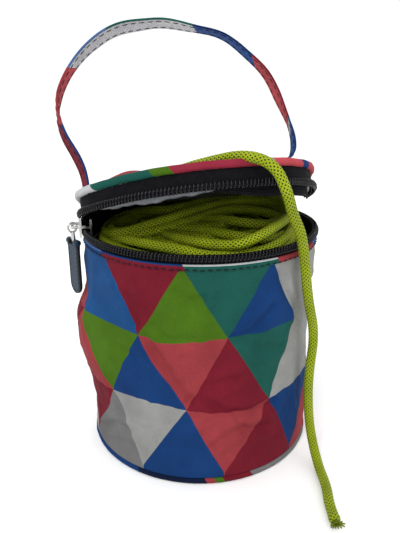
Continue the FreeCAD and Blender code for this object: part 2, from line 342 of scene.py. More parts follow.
def joined(name, parts):
    """One object from several."""
    for piece in bpy.context.selected_objects:
        piece.select_set(False)
    for part in parts:
        part.select_set(True)
    bpy.context.view_layer.objects.active = parts[0]
    bpy.ops.object.join()
    parts[0].name = name
    parts[0].data.name = name
    parts[0].select_set(False)
    return parts[0]


def many_tubes(name, paths, radius, sides=6):
    """Many short tubes as one mesh, each with its ends drawn in."""
    verts = []
    faces = []
    uvs = []
    for path in paths:
        path = np.asarray(path, float)
        _, side, normal = frames_along(path)
        share = np.linspace(0, 1, len(path))
        radii = radius * np.clip(np.sin(math.pi * share), 0.35, 1.0) ** 0.5
        first = len(verts)
        for p, a, b, r in zip(path, side, normal, radii):
            for k in range(sides):
                t = 2 * math.pi * k / sides
                verts.append(p + r * (math.cos(t) * a + math.sin(t) * b))
        for i in range(len(path) - 1):
            for k in range(sides):
                m = (k + 1) % sides
                faces.append((first + i * sides + k, first + (i + 1) * sides + k,
                              first + (i + 1) * sides + m, first + i * sides + m))
                uvs += [(i * 1e-3, k / sides), ((i + 1) * 1e-3, k / sides),
                        ((i + 1) * 1e-3, (k + 1) / sides), (i * 1e-3, (k + 1) / sides)]
        last = first + (len(path) - 1) * sides
        faces.append(tuple(first + k for k in range(sides)))
        faces.append(tuple(last + k for k in range(sides)))
        uvs += [(0, 0)] * (2 * sides)
    return outward(add_object(name, verts, faces, uvs))


def dashes_along(path, run, first, last, pitch, dash):
    """Short lines along a path, one each pitch; run is the length along it at each point."""
    lines = []
    for start in np.arange(first, last, pitch):
        at = start + np.linspace(0, dash, 5)
        lines.append(np.stack([np.interp(at, run, path[:, k]) for k in range(3)], axis=1))
    return lines


def lid_placed(points):
    """Takes points of the closed lid to where they are at rest: in front of the fold they
    are turned up, and near it they bend smoothly."""
    flat = points.reshape(-1, 3)
    ahead = (flat - np.array(FOLD_POINT)) @ np.array(FOLD_FRONT)
    angle = LID_OPEN * smooth((ahead + FOLD_REACH) / (2 * FOLD_REACH))
    p = flat - np.array(FOLD_POINT)
    p[:, 2] -= LID_DROOP * smooth((ahead - 0.045) / 0.04)
    reach = np.hypot(flat[:, 0], flat[:, 1])
    side = np.degrees(np.arctan2(flat[:, 1], flat[:, 0]))
    pull = LID_TUCK * np.exp(-(off_by(side, 354) / 24) ** 2)
    pull -= LID_BULGE * np.exp(-(off_by(side, 208) / 16) ** 2)
    pull *= smooth((reach - 0.02) / 0.03)
    p[:, :2] -= flat[:, :2] * (pull / np.maximum(reach, 1e-6))[:, None]
    n = np.array(FOLD_AXIS)
    c, s = np.cos(angle)[:, None], np.sin(angle)[:, None]
    moved = p * c + np.cross(n, p) * s + n * (p @ n)[:, None] * (1 - c)
    return (moved + np.array(FOLD_POINT)).reshape(points.shape)


# ---- the cord's line, which comes first -------------------------------------------------------
# The free end: out at the right rear, over the lid, down the front right and along the table.
CORD_ROUTE = [
    (0.0425, 0.010, 0.1078), (0.0420, 0.024, 0.1102), (0.0435, 0.042, 0.1137),
    (0.032, 0.055, 0.1185), (0.015, 0.055, 0.124), (-0.003, 0.046, 0.121),
    (-0.017, 0.030, 0.1204), (-0.021, 0.010, 0.1210), (-0.016, -0.010, 0.1267),
    (-0.008, -0.026, 0.1322), (0.003, -0.038, 0.1370), (0.0165, -0.0455, 0.1408),
    (0.0268, -0.051, 0.1380), (0.032, -0.0505, 0.1275), (0.0352, -0.0455, 0.118),
    (0.0395, -0.042, 0.110),
    (0.0425, -0.0375, 0.097), (0.0455, -0.034, 0.079), (0.051, -0.0275, 0.060),
    (0.049, -0.030, 0.042), (0.0493, -0.031, 0.027), (0.0515, -0.0305, 0.011),
    (0.053, -0.043, 0.0025), (0.054, -0.057, 0.0025), (0.0526, -0.068, 0.0025),
    (0.0532, -0.0775, 0.0025),
]
# The loose top turns of the hank, in millimetres. Most are a front run to the right and a
# rear run to the left; the last goes along the front to the right and becomes the free end.
HANK_TOP_MM = [
    (-41, -9, 99.5), (-34, -20.4, 101.5), (-21.3, -32, 102.5), (-9.9, -39.6, 102.8),
    (4, -43, 100.5), (19, -40, 100.5), (31, -32.5, 101.8), (37, -24, 103.5), (41, -10.5, 104),
    (42, 4, 103.5), (37, 18, 104.5), (25, 28, 105), (8, 32, 105), (-9, 30, 104), (-25, 23, 102),
    (-37, 12, 100.5), (-41, 0, 100.3), (-37, -10, 101), (-27, -14, 102.3), (-11, -14, 104.5),
    (0.8, -20.5, 105.7), (11.8, -29, 105.8), (20, -31, 104.8), (29, -28, 103.5), (37, -18, 102.5),
    (41, -5, 102), (41, 8, 104.5), (35, 21, 107), (22, 29, 108), (4, 32, 107.5), (-13, 28, 105.5),
    (-28, 19, 102), (-39, 7, 101), (-41, -5, 101), (-34, -12, 102.2), (-22, -11, 103.8),
    (-8, -5, 105.5), (2.5, -4, 106.8), (12.7, -10.6, 107.4), (20.3, -14.5, 107),
    (30, -12.5, 105.7), (38.5, -4, 106), (41.5, 7, 109), (38, 20, 111.5), (25, 30, 111.8),
    (7, 33, 110), (-9, 31, 107.5), (-24, 25, 104), (-36, 14, 102.5), (-41.5, 0, 101.8),
    (-38, -13, 102.3), (-28, -20, 103.3), (-15.7, -18, 105), (-3.2, -9, 107.4), (9.2, 4, 108.5),
    (22.4, 9.5, 108), (33, 5, 107), (40, -4, 105), (42, -16, 102.3), (36, -28, 100.3),
    (24, -37, 98.8), (9, -41.5, 98.3), (-7, -41, 98), (-22, -35, 98), (-35, -24, 98),
    (-43, -9, 98.5), (-45, 5, 99.8), (-42, 15.5, 101.6), (-33, 19, 104), (-24.5, 13.5, 106.6),
    (-16, 5, 108.2), (-6.5, 7, 109.8), (2.6, 12.9, 110.8), (12, 18.5, 111), (21, 21, 110.9),
    (29.5, 26.5, 110.3), (31.5, 35, 109.2), (24, 41.5, 107.6), (9, 45, 105.6), (-10, 43, 104.5),
    (-26, 36, 103), (-38, 24, 101.5), (-44, 9, 100.8), (-44, -6, 101), (-39, -16, 102.5),
    (-31, -19, 104.5), (-22, -17.5, 107), (-12, -12, 109), (-2, -2.5, 110.2), (9.5, 10, 110.4),
    (22, 19, 110), (34, 20, 109), (42, 13, 107.5), (44.5, 1, 105), (43, -13, 102), (37, -27, 100),
    (26, -38, 98.8), (11, -44, 98.3), (-5, -44, 98.3), (-20, -39.5, 98.3), (-33, -29.5, 98.5),
    (-42, -18, 99), (-44.5, -5, 99.4), (-42, 7, 99.8), (-34, 13, 100.4), (-25.5, 9.5, 101),
    (-20.5, 0, 101.8), (-18, -12, 102.8), (-13, -23.5, 103.9), (-4, -33.5, 104.4),
    (6, -40, 104.6), (14.5, -43, 105.4), (21, -40.5, 107), (28, -34.2, 109), (34, -24, 109.6),
    (39.5, -12, 109.4), (43.3, 0, 108.6),
]
HANK_TOP = [(x / 1000, y / 1000, z / 1000) for x, y, z in HANK_TOP_MM]
COIL_OUT = 0.0452        # widest turns of the buried coil, at the cord's middle
COIL_IN = 0.0135
COIL_PITCH = 0.0044
COIL_FIRST_Z = 0.0053
COIL_LAYERS = 24
COIL_SHOULDER = 21       # the layers above this draw in, so that the hank ends in a low dome
SHOULDER_STEP = 0.0095
LAYER_RISE = 0.00433
POINTS_PER_TURN = 14


def buried_turns():
    """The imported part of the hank: flat spirals laid on each other, each in or out."""
    points = []
    azimuth = 0.0
    for layer in range(COIL_LAYERS):
        # an outward spiral ends at the width of the inward one above it
        pair = layer + layer % 2
        widest = COIL_OUT - SHOULDER_STEP * max(0, pair - COIL_SHOULDER)
        per_layer = round((widest - COIL_IN) / COIL_PITCH * POINTS_PER_TURN)
        for k in range(per_layer):
            share = k / per_layer
            inward = share if layer % 2 == 0 else 1 - share
            radius = widest - inward * (widest - COIL_IN)
            rise = smooth((share - 0.93) / 0.07)
            wander = 0.0003 * math.sin(3 * math.radians(azimuth) + layer)
            z = COIL_FIRST_Z + (layer + rise) * LAYER_RISE
            points.append(polar(radius - abs(wander), azimuth, z))
            azimuth += 360 / POINTS_PER_TURN
    # The last layer ends at its inside; a rising turn leads out to the first loose turn.
    radius = math.hypot(points[-1][0], points[-1][1])
    z = points[-1][2]
    lead = 20
    lead_out = 0.041
    target = math.degrees(math.atan2(HANK_TOP[0][1], HANK_TOP[0][0])) % 360
    start = azimuth
    sweep = (target - start) % 360 + 360
    for k in range(lead):
        share = k / lead
        points.append(polar(radius + (lead_out - radius) * share, start + sweep * share,
                            z + (HANK_TOP[0][2] - z) * share))
    return points


def spline_points(name, points, resolution):
    """The points of a NURBS curve that has these as its control points."""
    curve = bpy.data.curves.new(name, "CURVE")
    curve.dimensions = "3D"
    curve.resolution_u = resolution
    spline = curve.splines.new("NURBS")
    spline.points.add(len(points) - 1)
    for target, p in zip(spline.points, points):
        target.co = (*p, 1.0)
    spline.order_u = 3
    spline.use_endpoint_u = True
    holder = bpy.data.objects.new(name, curve)
    mesh = bpy.data.meshes.new_from_object(holder)
    line = np.array([v.co for v in mesh.vertices])
    bpy.data.objects.remove(holder)
    bpy.data.curves.remove(curve)
    bpy.data.meshes.remove(mesh)
    return line


SEEN_FROM_Z = 0.094      # below this the cord is buried, and fewer rings carry it


def make_cord():
    line = spline_points("cord_line", buried_turns() + HANK_TOP + CORD_ROUTE, 9)
    loose = np.flatnonzero(line[:, 2] > SEEN_FROM_Z)[0]
    line = np.vstack([line[:loose:3], line[loose:]])
    # the cord is a little swollen next to its cut end
    left = run_along(line[::-1])[::-1]
    radii = CORD_D / 2 * (1 + 0.14 * np.exp(-((left - 0.0022) / 0.0016) ** 2))
    radii = np.where(left < 0.0006, radii * 0.82, radii)
    cord = tube_object("cord", line, radii, sides=12)
    return cord, line


CORD, CORD_LINE = make_cord()


# ---- materials --------------------------------------------------------------------------------
def rgb(red, green, blue):
    """A colour given as 0-255 sRGB, as a linear colour."""
    def linear(c):
        c /= 255
        return c / 12.92 if c <= 0.04045 else ((c + 0.055) / 1.055) ** 2.4
    return (linear(red), linear(green), linear(blue), 1.0)


class Paint:
    """One procedural material. Each method adds nodes and returns an output socket."""

    def __init__(self, name, roughness=0.6, metallic=0.0, **sockets):
        self.material = bpy.data.materials.new(name)
        self.material.use_nodes = True
        self.tree = self.material.node_tree
        self.tree.nodes.clear()
        self.shader = self.node("ShaderNodeBsdfPrincipled")
        out = self.node("ShaderNodeOutputMaterial")
        self.tree.links.new(self.shader.outputs[0], out.inputs[0])
        self.shader.inputs["Roughness"].default_value = roughness
        self.shader.inputs["Metallic"].default_value = metallic
        for key, value in sockets.items():
            self.shader.inputs[key.replace("_", " ")].default_value = value

    def node(self, kind, **settings):
        made = self.tree.nodes.new(kind)
        for key, value in settings.items():
            setattr(made, key, value)
        return made

    def feed(self, socket, value):
        if isinstance(value, bpy.types.NodeSocket):
            self.tree.links.new(value, socket)
        else:
            socket.default_value = value

    def calc(self, operation, *values):
        made = self.node("ShaderNodeMath", operation=operation)
        for socket, value in zip(made.inputs, values):
            self.feed(socket, value)
        return made.outputs[0]

    def mix(self, factor, a, b, blend="MIX"):
        made = self.node("ShaderNodeMix", data_type="RGBA", blend_type=blend)
        self.feed(made.inputs[0], factor)
        self.feed(made.inputs[6], a)
        self.feed(made.inputs[7], b)
        return made.outputs[2]

    def ramp(self, factor, stops, interpolation="LINEAR"):
        made = self.node("ShaderNodeValToRGB")
        ramp = made.color_ramp
        ramp.interpolation = interpolation
        while len(ramp.elements) > 1:
            ramp.elements.remove(ramp.elements[-1])
        ramp.elements[0].position = stops[0][0]
        ramp.elements[0].color = stops[0][1]
        for position, colour in stops[1:]:
            ramp.elements.new(position).color = colour
        self.feed(made.inputs[0], factor)
        return made.outputs[0]

    def uv(self):
        source = self.node("ShaderNodeUVMap", uv_map="Cloth")
        split = self.node("ShaderNodeSeparateXYZ")
        self.feed(split.inputs[0], source.outputs[0])
        return split.outputs[0], split.outputs[1]

    def vector(self, x, y, z=0.0):
        made = self.node("ShaderNodeCombineXYZ")
        for socket, value in zip(made.inputs, (x, y, z)):
            self.feed(socket, value)
        return made.outputs[0]

    def noise(self, vector, scale, detail=3.0, roughness=0.55):
        made = self.node("ShaderNodeTexNoise")
        self.feed(made.inputs["Vector"], vector)
        made.inputs["Scale"].default_value = scale
        made.inputs["Detail"].default_value = detail
        made.inputs["Roughness"].default_value = roughness
        return made.outputs[0]

    def solid_noise(self, scale, detail=3.0):
        place = self.node("ShaderNodeTexCoord")
        return self.noise(place.outputs["Object"], scale, detail)

    def streaks(self, scale, detail):
        """Noise drawn out along the object's upright axis."""
        place = self.node("ShaderNodeTexCoord")
        split = self.node("ShaderNodeSeparateXYZ")
        self.feed(split.inputs[0], place.outputs["Object"])
        drawn_out = self.calc("MULTIPLY", split.outputs[2], 0.15)
        return self.noise(self.vector(split.outputs[0], split.outputs[1], drawn_out), scale, detail)

    def wave(self, operation, place, period):
        """A SINE or COSINE wave of this period along place."""
        return self.calc(operation, self.calc("MULTIPLY", place, 2 * math.pi / period))

    def bump(self, height, strength, distance, under=None):
        made = self.node("ShaderNodeBump")
        made.inputs["Strength"].default_value = strength
        made.inputs["Distance"].default_value = distance
        self.feed(made.inputs["Height"], height)
        if under is not None:
            self.feed(made.inputs["Normal"], under)
        return made.outputs[0]

    def finish(self, colour, normal=None, roughness=None):
        self.feed(self.shader.inputs["Base Color"], colour)
        if normal is not None:
            self.feed(self.shader.inputs["Normal"], normal)
        if roughness is not None:
            self.feed(self.shader.inputs["Roughness"], roughness)
        return self.material


LIT = 0.62               # the studio's light is a little more than a white sky's


def dyed(red, green, blue):
    """A cloth colour, given as 0-255 sRGB as it looks in the studio's light."""
    return tuple(max(0.002, LIT * c - 0.001) for c in rgb(red, green, blue)[:3]) + (1.0,)


BLUE = dyed(26, 66, 124)
ROYAL = dyed(20, 50, 100)
AZURE = dyed(34, 84, 142)
CRIMSON = dyed(128, 32, 48)
CORAL = dyed(168, 66, 72)
GREEN = dyed(80, 120, 28)
TEAL = dyed(34, 96, 86)
PALE = dyed(166, 167, 164)
GREY = dyed(130, 129, 130)
WHITE = dyed(208, 210, 212)
SKY = dyed(84, 118, 170)
NAVY = dyed(20, 32, 62)

SIDE = 2 * math.pi * WALL_R / 9          # nine triangles go round the wall
ROW = SIDE * math.sqrt(3) / 2
PRINT_START = 0.0112                     # a corner of the lowest row, from the front centre
CELLS = 18
# Colours of each row of triangles, from the cell that stands at PRINT_START, going round.
PRINT_ROWS = [
    [CRIMSON, BLUE, CORAL, PALE, GREEN, TEAL, BLUE, CORAL, GREY, BLUE, CRIMSON, GREEN, PALE,
     CRIMSON, GREY, PALE, BLUE, CORAL],
    [PALE, PALE, CORAL, TEAL, CRIMSON, GREY, BLUE, GREEN, CORAL, PALE, BLUE, CRIMSON, CORAL,
     GREEN, BLUE, CORAL, CRIMSON, TEAL],
    [BLUE, PALE, PALE, GREEN, BLUE, CORAL, TEAL, PALE, CRIMSON, BLUE, GREEN, GREY, CORAL,
     AZURE, AZURE, CRIMSON, GREEN, TEAL],
]


def lattice(paint, u, v):
    """The triangle print, from lengths round (u) and up (v) the cloth."""
    rows = paint.calc("DIVIDE", v, ROW)
    row = paint.calc("FLOOR", rows)
    up = paint.calc("SUBTRACT", rows, row)
    odd = paint.calc("FLOORED_MODULO", row, 2.0)
    x = paint.calc("DIVIDE", paint.calc("SUBTRACT", u, PRINT_START), SIDE)
    x = paint.calc("SUBTRACT", x, paint.calc("MULTIPLY", odd, 0.5))
    half = paint.calc("MULTIPLY", up, 0.5)
    low = paint.calc("FLOOR", paint.calc("SUBTRACT", x, half))
    high = paint.calc("FLOOR", paint.calc("ADD", x, half))
    cell = paint.calc("FLOORED_MODULO", paint.calc("ADD", low, high), float(CELLS))
    where = paint.calc("DIVIDE", paint.calc("ADD", cell, 0.5), float(CELLS))
    level = paint.calc("FLOORED_MODULO", row, 3.0)
    colour = None
    for k, colours in enumerate(PRINT_ROWS):
        stops = [(i / CELLS, c) for i, c in enumerate(colours)]
        this = paint.ramp(where, stops, "CONSTANT")
        if colour is None:
            colour = this
        else:
            colour = paint.mix(paint.calc("GREATER_THAN", level, k - 0.5), colour, this)
    return colour


def woven(paint, u, v):
    """The height of the weave, for colour, and its bump with slubs and fine creases."""
    pitch = 0.0005
    weave = paint.calc("MULTIPLY", paint.wave("SINE", u, pitch), paint.wave("SINE", v, pitch))
    crease = paint.solid_noise(110.0, 5.0)
    slub = paint.solid_noise(1400.0, 2.0)
    normal = paint.bump(crease, 0.5, 0.0012)
    normal = paint.bump(slub, 0.25, 0.0002, normal)
    normal = paint.bump(weave, 0.35, 0.0001, normal)
    return weave, normal


def cloth_colour(paint, colour, weave):
    """Uneven dye: a little lighter and darker in patches, and in the weave."""
    patches = paint.ramp(paint.solid_noise(60.0, 4.0),
                         [(0.3, (0.8, 0.8, 0.8, 1)), (0.7, (1.1, 1.1, 1.1, 1))])
    colour = paint.mix(1.0, colour, patches, "MULTIPLY")
    grain = paint.calc("MULTIPLY_ADD", weave, 0.035, 1.0)
    speck = paint.calc("MULTIPLY_ADD", paint.solid_noise(2600.0, 1.0), 0.5, 0.75)
    tone = paint.calc("MULTIPLY", grain, speck)
    return paint.mix(1.0, colour, paint.vector(tone, tone, tone), "MULTIPLY")


FABRIC = {"roughness": 0.75, "Specular_IOR_Level": 0.06}


def printed_cloth():
    paint = Paint("printed_cloth", **FABRIC)
    u, v = paint.uv()
    weave, normal = woven(paint, u, v)
    return paint.finish(cloth_colour(paint, lattice(paint, u, v), weave), normal)


def banded_cloth(name, stops, length, slant=0.6, edge_stops=None, edge=None):
    """A narrow strip cut from the print: colours change along it, with slanting borders.
    stops are (place along, colour). edge_stops colour the strip past edge metres in v."""
    paint = Paint(name, **FABRIC)
    u, v = paint.uv()
    weave, normal = woven(paint, u, v)
    place = paint.calc("ADD", u, paint.calc("MULTIPLY", v, slant))
    place = paint.calc("DIVIDE", paint.calc("FLOORED_MODULO", place, length), length)
    colour = paint.ramp(place, [(s / length, c) for s, c in stops], "CONSTANT")
    if edge_stops:
        other = paint.ramp(place, [(s / length, c) for s, c in edge_stops], "CONSTANT")
        colour = paint.mix(paint.calc("GREATER_THAN", v, edge), colour, other)
    return paint.finish(cloth_colour(paint, colour, weave), normal)


def black_tape(name, colour, pitch=0.0007):
    """Ribbed woven tape."""
    paint = Paint(name, roughness=0.7, Specular_IOR_Level=0.05)
    u, v = paint.uv()
    stitch = paint.wave("SINE", u, 0.6 * pitch)
    height = paint.calc("MULTIPLY_ADD", stitch, 0.4, paint.wave("SINE", v, pitch))
    normal = paint.bump(paint.solid_noise(300.0), 0.2, 0.0006)
    normal = paint.bump(height, 0.5, 0.0001, normal)
    dust = paint.solid_noise(500.0, 4.0)
    tone = paint.ramp(dust, [(0.35, colour), (0.75, tuple(1.8 * c for c in colour[:3]) + (1,))])
    return paint.finish(tone, normal)


def silver_film():
    paint = Paint("silver_lining", roughness=0.38, metallic=0.35)
    crease = paint.solid_noise(220.0, 6.0)
    fine = paint.solid_noise(1500.0, 2.0)
    normal = paint.bump(fine, 0.2, 0.0002, paint.bump(crease, 0.6, 0.0012))
    # Painted shade and light: the film is darker in the hollows of its creases and lighter on their
    # crests.
    tone = paint.ramp(crease, [(0.3, rgb(64, 67, 71)), (0.7, rgb(100, 104, 108))])
    return paint.finish(tone, normal)


def foam():
    paint = Paint("foam", roughness=0.95)
    cells = paint.solid_noise(1800.0, 2.0)
    tone = paint.ramp(cells, [(0.3, rgb(205, 203, 196)), (0.7, rgb(232, 230, 222))])
    return paint.finish(tone, paint.bump(cells, 0.6, 0.0004))


def pressed_board():
    paint = Paint("board", roughness=0.85)
    fibres = paint.solid_noise(700.0, 5.0)
    tone = paint.ramp(fibres, [(0.3, rgb(96, 88, 76)), (0.7, rgb(142, 132, 116))])
    return paint.finish(tone, paint.bump(fibres, 0.4, 0.0003))


def thread(name, colour):
    paint = Paint(name, roughness=0.6, Specular_IOR_Level=0.2)
    u, v = paint.uv()
    twist = paint.calc("SINE", paint.calc("ADD", paint.calc("MULTIPLY", u, 9000.0),
                                          paint.calc("MULTIPLY", v, 12.566)))
    tone = paint.mix(paint.calc("MULTIPLY_ADD", twist, 0.5, 0.5), colour,
                     tuple(1.7 * c for c in colour[:3]) + (1,))
    return paint.finish(tone, paint.bump(twist, 0.5, 0.0001))


def nylon():
    paint = Paint("zip_nylon", roughness=0.2, Specular_IOR_Level=0.32)
    worn = paint.solid_noise(900.0, 3.0)
    tone = paint.ramp(worn, [(0.4, rgb(7, 7, 8)), (0.8, rgb(15, 15, 17))])
    rough = paint.calc("MULTIPLY_ADD", worn, 0.2, 0.1)
    return paint.finish(tone, paint.bump(worn, 0.15, 0.0001), rough)


def metal():
    paint = Paint("zip_metal", metallic=1.0)
    scratches = paint.streaks(900.0, 6.0)
    tone = paint.ramp(scratches, [(0.25, rgb(150, 150, 150)), (0.75, rgb(222, 222, 220))])
    rough = paint.calc("MULTIPLY_ADD", scratches, 0.3, 0.12)
    return paint.finish(tone, paint.bump(scratches, 0.2, 0.0001), rough)


def tab_leather():
    paint = Paint("tab_leather", roughness=0.45, Specular_IOR_Level=0.25)
    place = paint.node("ShaderNodeTexCoord")
    grain = paint.node("ShaderNodeTexVoronoi", feature="DISTANCE_TO_EDGE")
    paint.feed(grain.inputs["Vector"], place.outputs["Object"])
    grain.inputs["Scale"].default_value = 1300.0
    pores = paint.calc("MINIMUM", grain.outputs[0], 0.2)
    worn = paint.solid_noise(160.0, 4.0)
    tone = paint.ramp(worn, [(0.3, rgb(14, 34, 50)), (0.75, rgb(26, 50, 68))])
    rim, _ = paint.uv()
    tone = paint.mix(paint.calc("LESS_THAN", rim, 0.0007), tone, rgb(7, 8, 10))
    return paint.finish(tone, paint.bump(pores, 0.7, 0.0004))


BRAID_PITCH = 0.0018
BRAID_ROWS = 8           # rows of stitches round the cord


def braid():
    """Round braided cord: rows of raised stitches, with painted shade, dark, in the gap beside
    each.
    """
    paint = Paint("braided_cord", roughness=0.6, Specular_IOR_Level=0.2)
    u, v = paint.uv()
    plait = paint.calc("MULTIPLY", paint.wave("COSINE", u, BRAID_PITCH),
                       paint.wave("COSINE", v, 1 / BRAID_ROWS))
    ridge = paint.calc("ABSOLUTE", plait)
    # gaps is a mask of painted shade: it says where the dark gap beside each stitch is drawn
    gaps = paint.ramp(plait, [(0.0, (1, 1, 1, 1)), (0.2, (1, 1, 1, 1)), (0.6, (0, 0, 0, 1))])
    fuzz = paint.solid_noise(2500.0, 3.0)
    dye = paint.solid_noise(90.0, 3.0)
    lime = paint.ramp(dye, [(0.3, rgb(142, 158, 14)), (0.7, rgb(170, 186, 26))])
    lime = paint.mix(paint.calc("MULTIPLY", fuzz, 0.3), lime, rgb(104, 122, 6))
    # painted shade: the dark colour goes into the gaps beside the stitches
    tone = paint.mix(gaps, rgb(30, 38, 2), lime)
    normal = paint.bump(fuzz, 0.3, 0.0002, paint.bump(ridge, 0.8, 0.0005))
    return paint.finish(tone, normal)


def mm_stops(*pairs):
    return [(place / 1000, colour) for place, colour in pairs]


MATERIALS = {
    "print": printed_cloth(),
    "tape": black_tape("zip_tape", rgb(12, 12, 15)),
    "binding": black_tape("black_binding", rgb(11, 11, 13), 0.0009),
    "band": black_tape("hinge_tape", rgb(14, 14, 17), 0.0011),
    "silver": silver_film(),
    "foam": foam(),
    "board": pressed_board(),
    "thread": thread("dark_thread", rgb(12, 12, 20)),
    "nylon": nylon(),
    "metal": metal(),
    "leather": tab_leather(),
    "braid": braid(),
}


def dress(piece, material, body=None, replaces=(), blend=None):
    """Gives a piece its material, what it stands for and what it moves with."""
    piece.data.materials.clear()
    piece.data.materials.append(MATERIALS[material] if isinstance(material, str) else material)
    if replaces:
        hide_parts(*replaces)
    if body:
        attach(piece, body)
    if blend:
        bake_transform(piece)
    return piece


ACROSS_FOLD = ("bag", "lid", FOLD_POINT - FOLD_FRONT * FOLD_REACH,
               FOLD_POINT + FOLD_FRONT * FOLD_REACH)

dress(CORD, "braid", replaces=("cord_hank", "cord_tail"),
      blend=("bag", "lid", Vector((0, 0, 0.111)), Vector((0, 0, 0.131))))


def build_fray():
    """The cut end of the cord has come apart a little into its yarns."""
    tip, back = Vector(CORD_LINE[-1]), Vector(CORD_LINE[-6])
    along = (tip - back).normalized()
    side = along.cross(Vector((0, 0, 1))).normalized()
    up = side.cross(along)
    yarns = []
    for k in range(11):
        angle = math.radians(131 * k + 15)
        out = side * math.cos(angle) + up * math.sin(angle)
        reach = 0.0021 + 0.0009 * math.sin(2.3 * k)
        yarn = [tip + along * (reach * t - 0.0002) + out * (0.0011 + 0.8 * reach * t * t)
                for t in (0, 0.25, 0.5, 0.75, 1)]
        yarns.append([Vector((p.x, p.y, max(p.z, 0.0006))) for p in yarn])
    dress(many_tubes("cord_end_yarns", yarns, 0.0004, 6), "braid", "bag")


build_fray()


# ---- the wall ---------------------------------------------------------------------------------
# Dents and bulges of the soft wall: azimuth, height, half width round, half height, depth in.
DENTS = [
    (192, 0.054, 0.030, 0.016, -0.0060),
    (193, 0.066, 0.024, 0.007, -0.0025),
    (196, 0.091, 0.020, 0.010, -0.0012),
    (222, 0.074, 0.013, 0.012, 0.0012),
    (246, 0.060, 0.010, 0.022, 0.0010),
    (300, 0.050, 0.016, 0.018, 0.0013),
    (330, 0.070, 0.018, 0.022, 0.0016),
    (20, 0.055, 0.020, 0.025, 0.0020),
    (75, 0.060, 0.022, 0.028, 0.0018),
    (125, 0.045, 0.020, 0.022, 0.0020),
    (160, 0.070, 0.018, 0.020, 0.0016),
    (262, 0.030, 0.022, 0.016, -0.0008),
    (215, 0.040, 0.014, 0.014, -0.0010),
]


# Creases in the cloth: a line of (azimuth, height), then the depth of each.
CREASES = [
    ([(259, 0.0889), (265, 0.0853), (271, 0.0866)], 0.0007),
    ([(236, 0.0843), (240, 0.0738)], 0.0006),
    ([(248, 0.0728), (253, 0.0692), (259, 0.0676), (267, 0.0694)], 0.0006),
    ([(265, 0.0411), (273, 0.048), (286, 0.0503)], 0.0006),
    ([(272, 0.0422), (281, 0.0355), (294, 0.0333), (308, 0.0338)], 0.0008),
    ([(285, 0.069), (295, 0.0715), (305, 0.0792)], 0.0008),
    ([(209, 0.0108), (224, 0.0197), (232, 0.0197)], 0.0008),
    ([(246, 0.0678), (251, 0.0579), (259, 0.0486), (265, 0.0421)], 0.0007),
    ([(277, 0.020), (286, 0.0262), (302, 0.0245)], 0.0006),
    ([(286, 0.0349), (293, 0.0223)], 0.0005),
    ([(248, 0.0629), (256, 0.0551)], 0.0005),
    ([(307, 0.096), (313, 0.0829), (329, 0.0687)], 0.0008),
    ([(229, 0.0606), (238, 0.0574)], 0.0006),
    ([(291, 0.0677), (298, 0.0619), (311, 0.0594)], 0.0006),
    ([(350, 0.078), (5, 0.066), (18, 0.068)], 0.0008),
    ([(30, 0.040), (48, 0.031), (60, 0.036)], 0.0008),
    ([(70, 0.082), (84, 0.074), (98, 0.079)], 0.0008),
    ([(110, 0.052), (128, 0.045), (140, 0.050)], 0.0008),
    ([(150, 0.085), (166, 0.071), (176, 0.060)], 0.0008),
    ([(152, 0.030), (170, 0.024)], 0.0007),
]
CREASE_W = 0.0021


def crease_depth(azimuth, z):
    """Each crease is a small valley with a raised lip along each side."""
    total = np.zeros(np.broadcast(azimuth, z).shape)
    for line, depth in CREASES:
        near = np.full(total.shape, 1.0)
        for (az_a, z_a), (az_b, z_b) in zip(line, line[1:]):
            along = math.radians(off_by(az_b, az_a)) * WALL_R
            rise = z_b - z_a
            du = np.radians(off_by(azimuth, az_a)) * WALL_R
            dz = z - z_a
            share = np.clip((du * along + dz * rise) / (along ** 2 + rise ** 2), 0, 1)
            near = np.minimum(near, np.hypot(du - share * along, dz - share * rise))
        lips = 0.55 * np.exp(-((near - 1.9 * CREASE_W) / (1.1 * CREASE_W)) ** 2)
        total += 1.5 * depth * (np.exp(-(near / CREASE_W) ** 2) - lips)
    return total


def wall_sag(azimuth, z):
    """How far the soft wall stands out of its round shape."""
    angle = np.radians(azimuth)
    on_wall = np.stack([WALL_R * np.cos(angle), WALL_R * np.sin(angle), z + 0 * angle], axis=-1)
    out = 0.0009 * field(on_wall, 26.0, 3.1)
    folds = np.stack([on_wall[..., 0], on_wall[..., 1], on_wall[..., 2] * 0.55], axis=-1)
    ridges = 1 - np.abs(field(folds, 62.0, 7.7)) * 2.4
    out += 0.0007 * np.clip(ridges, 0, 1) ** 2
    ridges = 1 - np.abs(field(folds + 0.35 * on_wall[..., 2:], 105.0, 1.3)) * 2.6
    out += 0.00035 * np.clip(ridges, 0, 1) ** 2
    out -= 0.0006
    for az, height, half_round, half_high, depth in DENTS:
        du = np.radians(off_by(azimuth, az)) * WALL_R / half_round
        dz = (z - height) / half_high
        out -= depth * np.exp(-(du * du + dz * dz))
    out -= crease_depth(azimuth, z)
    held = smooth((z - FOOT_Z) / 0.012) * smooth((WALL_TOP - z) / 0.009)
    return out * held


# Where the cloth is pulled out of line: azimuth, height, half width and height, shift of the
# print round and up.
PULLS = [
    (256, 0.069, 0.013, 0.012, 0.0, 0.0030),
    (287, 0.036, 0.015, 0.013, 0.0, 0.0036),
    (251, 0.058, 0.010, 0.012, 0.0022, 0.0),
    (222, 0.027, 0.012, 0.012, -0.0028, 0.0),
]


